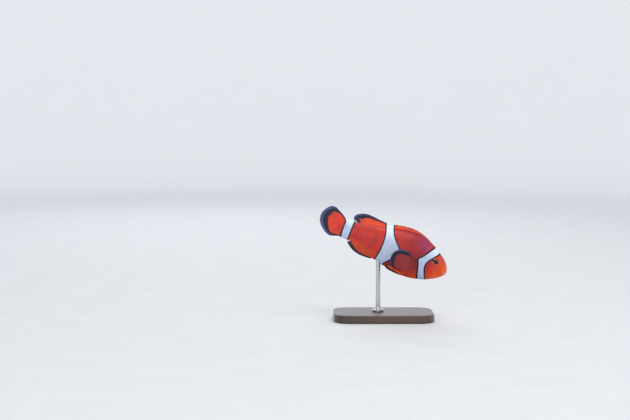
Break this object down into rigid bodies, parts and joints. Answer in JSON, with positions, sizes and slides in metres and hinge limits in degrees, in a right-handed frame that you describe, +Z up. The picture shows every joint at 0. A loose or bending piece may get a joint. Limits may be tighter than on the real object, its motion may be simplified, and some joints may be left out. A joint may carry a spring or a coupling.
{
  "type": "clownfish model on display stand",
  "caption": "Life-size still model of a clownfish swimming nose-down, held over a flat base by a slim rod.",
  "frame": {"origin": "centre of the base's underside; the rod stands just behind it", "axes": "+Z up, +X towards the fish's head, +Y to the fish's left; the fish swims towards +X with its nose tipped down about 21 degrees"},
  "size_m": [0.0791, 0.036, 0.071],
  "materials": {
    "skin": "satin painted scales, orange with white bands edged in black",
    "white_band": "satin painted scales, bluish white",
    "fin": "satin, orange with a black band and a pale margin",
    "eye": "high gloss, black pupil in an orange ring",
    "base": "dark stained, satin lacquer",
    "rod": "brushed"
  },
  "bodies": {
    "root": {"head": "skin", "lower_jaw": "skin", "gill_cover_right": "skin", "gill_cover_left": "skin", "eye_right": "eye", "eye_left": "eye", "trunk": "skin", "tail_stock": "white_band", "dorsal_fin_spiny": "fin", "dorsal_fin_soft": "fin", "anal_fin": "fin", "caudal_fin": "fin", "pectoral_fin_right": "fin", "pectoral_fin_left": "fin", "pelvic_fin_right": "fin", "pelvic_fin_left": "fin", "stand_base": "base", "stand_rod": "rod"}
  },
  "joints": []
}
